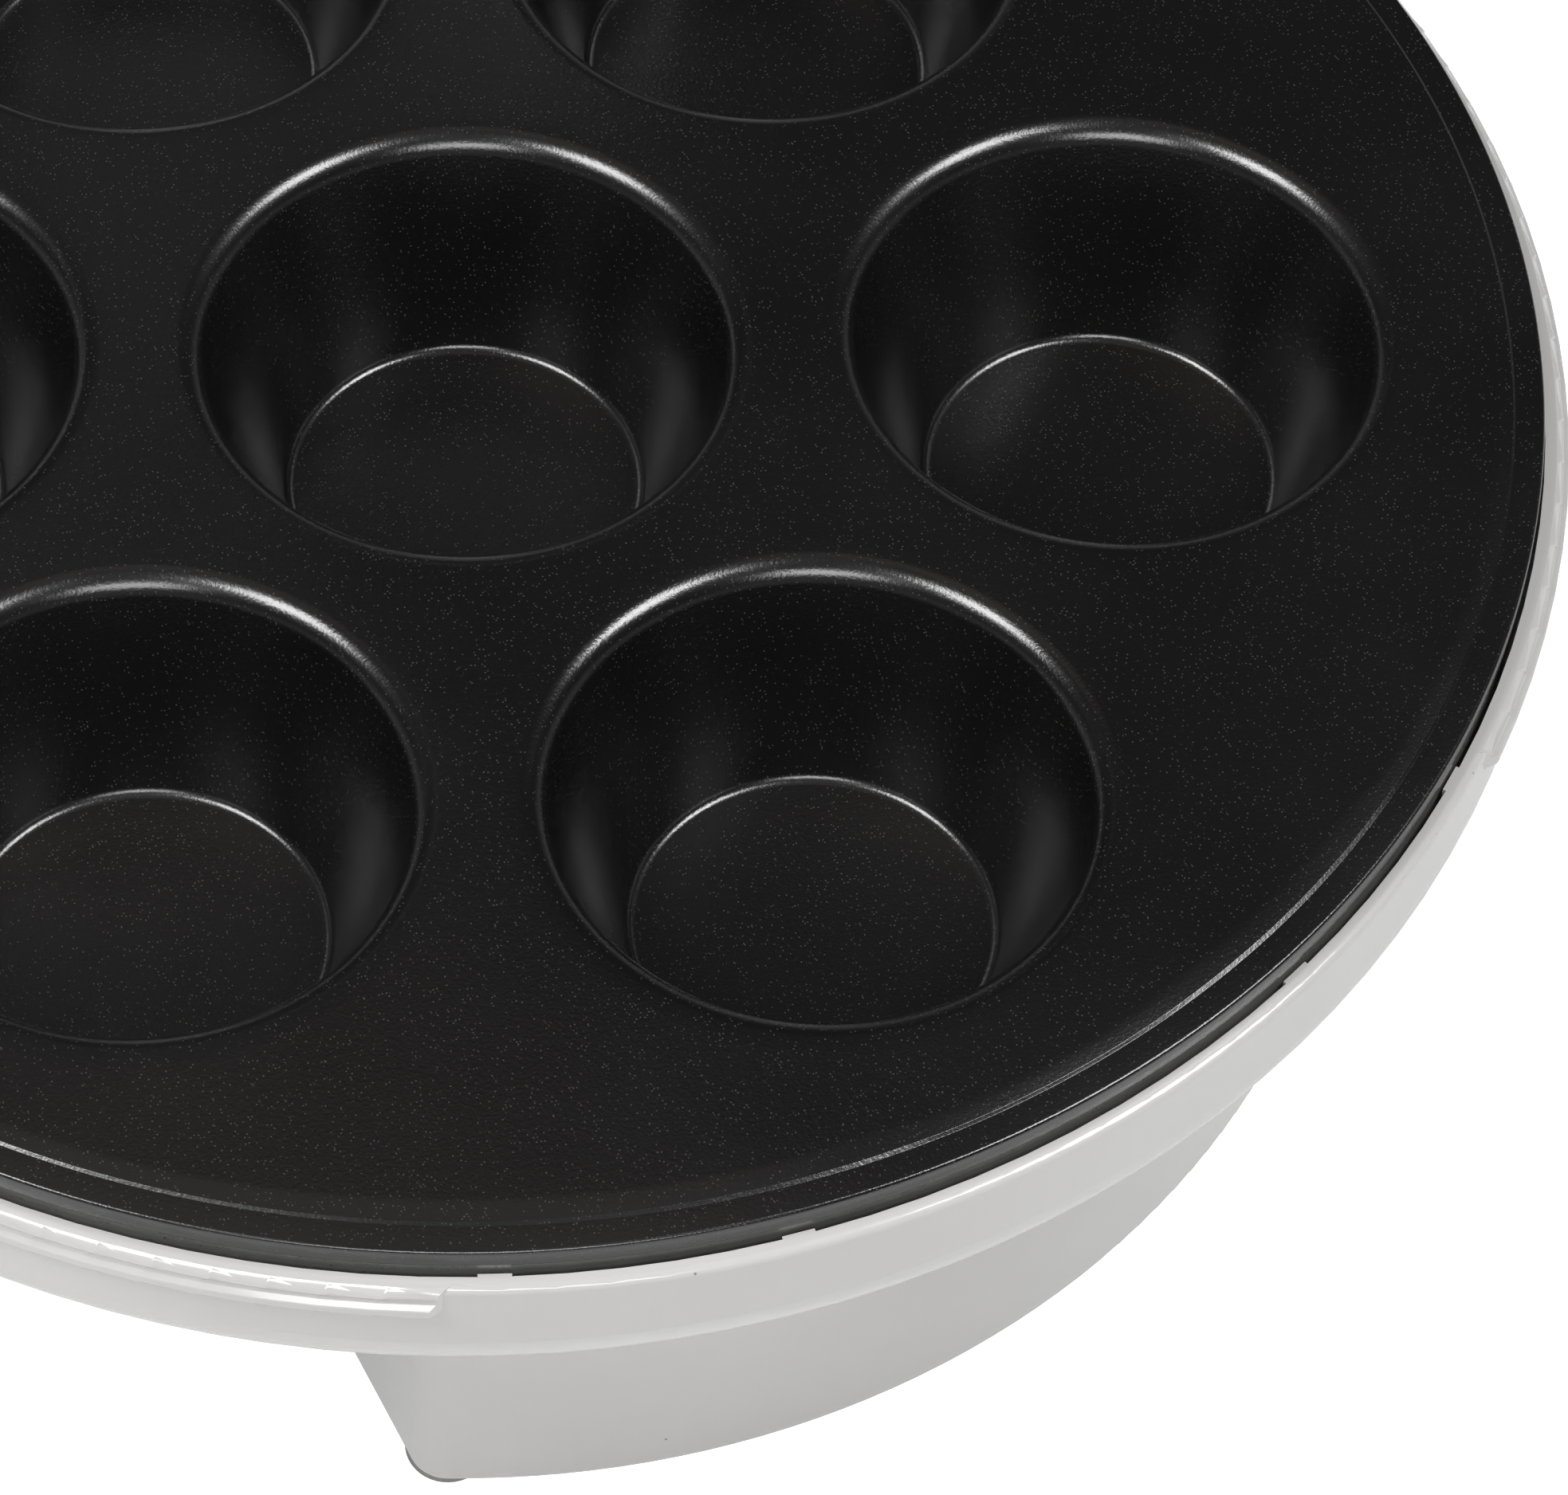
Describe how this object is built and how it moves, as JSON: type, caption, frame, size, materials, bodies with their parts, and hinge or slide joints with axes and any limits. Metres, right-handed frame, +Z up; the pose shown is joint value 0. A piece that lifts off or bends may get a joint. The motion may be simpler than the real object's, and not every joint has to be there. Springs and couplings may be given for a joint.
{
  "type": "donut maker",
  "caption": "Round countertop baker with a hinged lid, round cups in the lower plate and shallow domes in the upper one.",
  "frame": {"origin": "centre of the box of the open part, on the table", "axes": "+Z up, front towards -Y, lid hinge at the rear along X"},
  "size_m": [0.225, 0.3091, 0.3338],
  "materials": {
    "white_shell": "glossy off-white moulded plastic",
    "cap_white": "glossy off-white moulded plastic",
    "grey_grip": "satin grey moulded plastic",
    "nonstick": "satin black non-stick coating on cast aluminium",
    "black_skirt": "satin black enamel on steel",
    "aluminised_sheet": "rolled aluminised sheet",
    "element_sheath": "heat-darkened steel sheath",
    "zinc_screw": "zinc-plated",
    "terminal_nickel": "nickel-plated",
    "brass": "machined brass",
    "cream_block": "moulded terminal block",
    "thermostat_can": "drawn can",
    "fuse_sleeve": "woven glass sleeve",
    "hinge_steel": "turned steel",
    "wire_sleeve": "woven glass sleeve",
    "black_sleeve": "silicone sleeve",
    "black_rubber": "matte moulded rubber",
    "pad_rubber": "soft grey moulded rubber",
    "red_lens": "clear red moulded lens",
    "green_lens": "clear green moulded lens",
    "lamp_glass": "clear glass neon",
    "holder_plastic": "moulded holder"
  },
  "bodies": {
    "base": {"case_screws": "zinc_screw", "clip_screws": "zinc_screw", "cord_gland": "black_rubber", "element_clips": "aluminised_sheet", "foot_pads": "pad_rubber", "foot_screws": "zinc_screw", "front_foot": "white_shell", "hinge_bush": "hinge_steel", "hinge_pin": "hinge_steel", "hinge_wires": "black_sleeve", "lower_element": "element_sheath", "lower_element_pins": "terminal_nickel", "lower_housing": "white_shell", "lower_plate": "nonstick", "lower_reflector": "aluminised_sheet", "lower_skirt": "black_skirt", "lower_wires": "wire_sleeve", "rear_foot": "white_shell", "terminal_block": "cream_block", "terminal_screws": "brass", "thermal_fuse": "fuse_sleeve", "thermostat": "thermostat_can", "thermostat_bracket": "aluminised_sheet"},
    "lid": {"lid_cap": "cap_white", "upper_plate": "nonstick", "upper_skirt": "black_skirt", "upper_reflector": "aluminised_sheet", "lid_frame": "aluminised_sheet", "upper_element": "element_sheath", "upper_element_pins": "terminal_nickel", "upper_plate_screws": "zinc_screw", "frame_screws": "zinc_screw", "power_lens": "red_lens", "ready_lens": "green_lens", "power_lamp": "lamp_glass", "ready_lamp": "lamp_glass", "lamp_holder": "holder_plastic", "upper_wires": "wire_sleeve", "lid_housing": "white_shell", "handle_grip": "grey_grip", "handle_cover": "grey_grip", "handle_bolts": "zinc_screw", "cover_screws": "zinc_screw"}
  },
  "joints": [
    {"name": "lid_hinge", "type": "hinge", "parent": "base", "child": "lid", "pos_m": [0, 0.0794, 0.0695], "axis": [1, 0, 0], "range_deg": [0, 100]}
  ]
}
